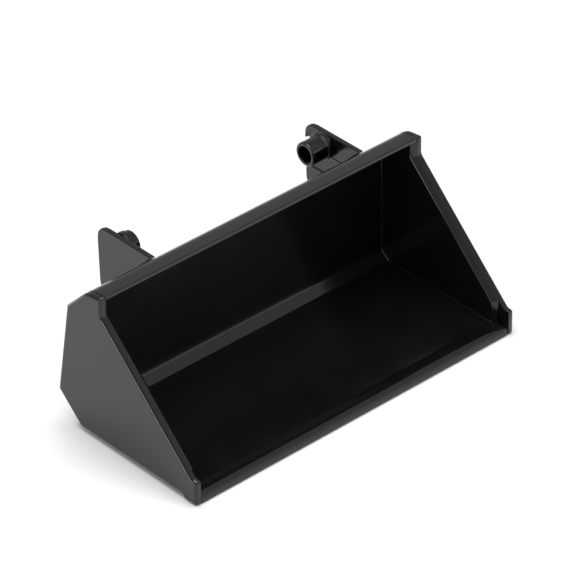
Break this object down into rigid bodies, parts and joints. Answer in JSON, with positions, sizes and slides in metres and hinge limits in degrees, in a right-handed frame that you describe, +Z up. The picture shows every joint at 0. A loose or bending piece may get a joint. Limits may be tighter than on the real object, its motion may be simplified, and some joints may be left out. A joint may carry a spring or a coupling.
{
  "type": "skid steer bucket",
  "caption": "Toy-scale loader bucket in black plastic: open-fronted tub with side plates, lip bar, top rail and two rear ears with hollow studs.",
  "frame": {"origin": "under the middle of the part's box, on the surface that the cutting edge stands on", "axes": "+X to the bucket's right, seen from behind it looking out through the mouth; -Y out of the mouth, +Y towards the rear ears; +Z up"},
  "size_m": [0.125, 0.0704, 0.0507],
  "materials": {
    "bucket_plastic": "moulded black ABS, satin",
    "stud_plastic": "moulded black acetal, glossy"
  },
  "bodies": {
    "root": {"tub": "bucket_plastic", "top_rail": "bucket_plastic", "cutting_edge": "bucket_plastic", "left_cheek": "bucket_plastic", "right_cheek": "bucket_plastic", "left_ear": "bucket_plastic", "right_ear": "bucket_plastic", "left_stud": "stud_plastic", "right_stud": "stud_plastic"}
  },
  "joints": []
}
